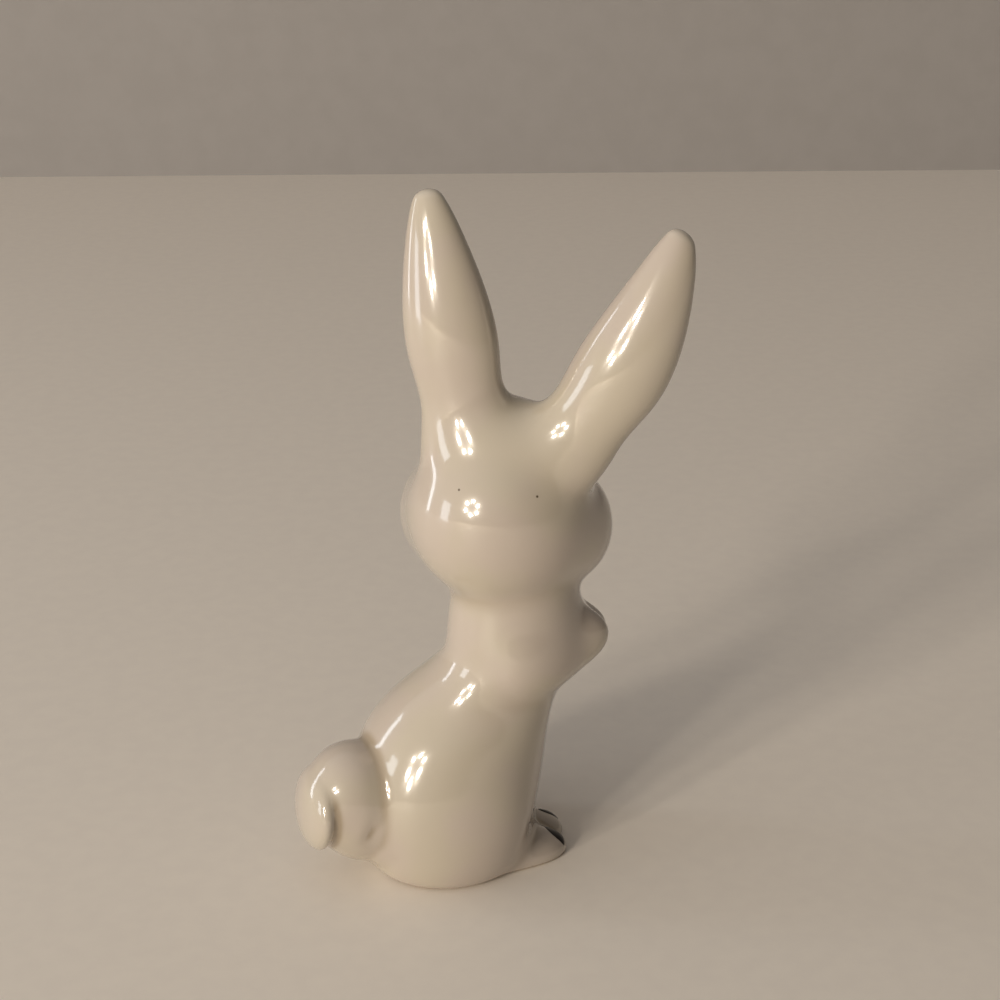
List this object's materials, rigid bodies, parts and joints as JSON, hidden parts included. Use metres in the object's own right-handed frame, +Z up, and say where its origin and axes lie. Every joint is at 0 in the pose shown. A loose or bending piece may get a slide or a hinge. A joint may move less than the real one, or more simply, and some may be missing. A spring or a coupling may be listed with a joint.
{
  "type": "animal figurine",
  "caption": "Glazed ceramic rabbit figurine sitting upright with tall ears, head turned to its left, to stand on a shelf as an ornament",
  "frame": {"origin": "centre of the flat base under the torso, on the surface that the figurine stands on", "axes": "+X is the way the body and feet face, +Y is the rabbit's left, +Z is up along the height"},
  "size_m": [0.0493, 0.0259, 0.0889],
  "materials": {
    "glaze": "glossy ivory glaze over white earthenware",
    "black_enamel": "glossy black overglaze enamel",
    "pink_enamel": "glossy pink overglaze enamel"
  },
  "bodies": {
    "root": {"torso": "glaze", "head": "glaze", "ear_left": "glaze", "ear_right": "glaze", "foreleg_left": "glaze", "foreleg_right": "glaze", "hind_foot_left": "glaze", "hind_foot_right": "glaze", "tail": "glaze", "eye_left": "black_enamel", "eye_right": "black_enamel", "toe_mark_left": "black_enamel", "toe_mark_right": "black_enamel", "nose": "pink_enamel"}
  },
  "joints": []
}
